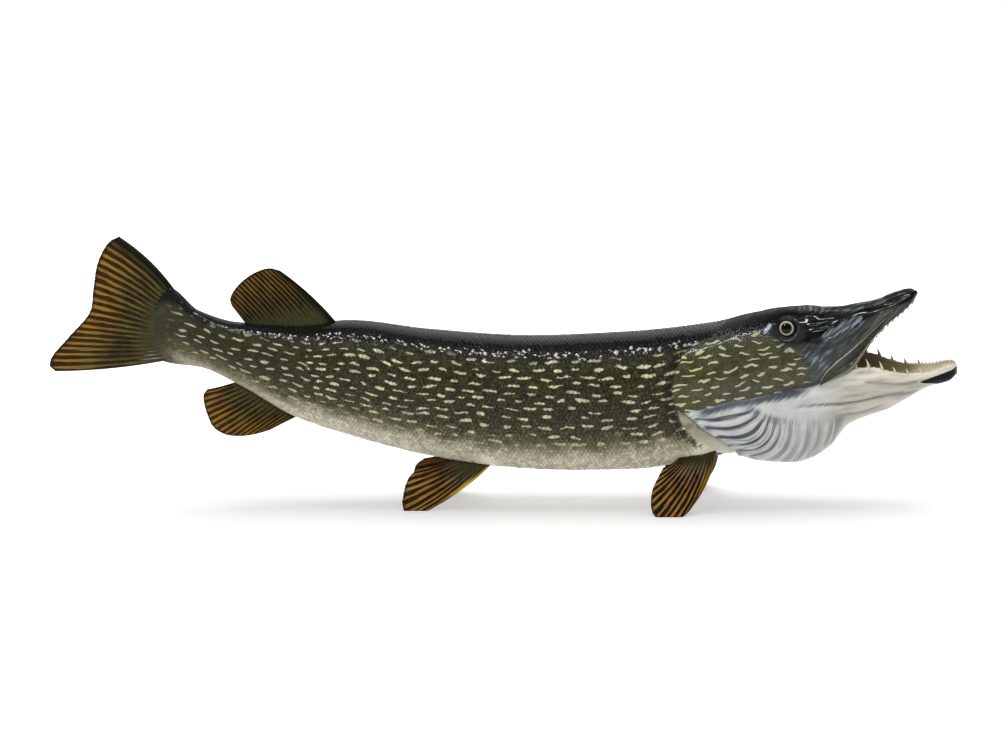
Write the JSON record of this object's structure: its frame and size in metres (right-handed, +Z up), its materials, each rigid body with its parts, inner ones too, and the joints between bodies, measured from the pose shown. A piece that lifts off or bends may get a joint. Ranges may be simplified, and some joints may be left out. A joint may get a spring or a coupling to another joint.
{
  "type": "mounted pike",
  "caption": "Life-size mounted northern pike, standing on its paired fins with the mouth open, as a still museum model.",
  "frame": {"origin": "on the floor, below the middle of the fish's length, on its middle plane", "axes": "+X from tail to snout, -Y to the fish's right side, +Z up"},
  "size_m": [0.997, 0.1388, 0.3],
  "materials": {
    "lacquered_scaled_skin": "clear gloss lacquer over olive scales with pale yellow bars and a cream belly",
    "lacquered_head_skin": "clear gloss lacquer over dark olive, scaleless skin with pale worm-like marks",
    "lacquered_throat_skin": "clear gloss lacquer over silvery white folded skin",
    "mouth_lining": "satin, cream to brown",
    "lacquered_fin": "clear gloss lacquer over orange-brown rays with dark streaks",
    "glass_eye": "polished, black pupil in a pale gold ring"
  },
  "bodies": {
    "root": {"tail_stalk": "lacquered_scaled_skin", "trunk_rear": "lacquered_scaled_skin", "trunk_middle": "lacquered_scaled_skin", "trunk_front": "lacquered_scaled_skin", "skull": "lacquered_head_skin", "gill_cover_right": "lacquered_head_skin", "gill_cover_left": "lacquered_head_skin", "throat": "lacquered_throat_skin", "lower_jaw": "lacquered_throat_skin", "maxilla_right": "lacquered_head_skin", "maxilla_left": "lacquered_head_skin", "tongue": "mouth_lining", "caudal_fin": "lacquered_fin", "dorsal_fin": "lacquered_fin", "anal_fin": "lacquered_fin", "pectoral_fin_right": "lacquered_fin", "pectoral_fin_left": "lacquered_fin", "pelvic_fin_right": "lacquered_fin", "pelvic_fin_left": "lacquered_fin", "eye_right": "glass_eye", "eye_left": "glass_eye"}
  },
  "joints": []
}
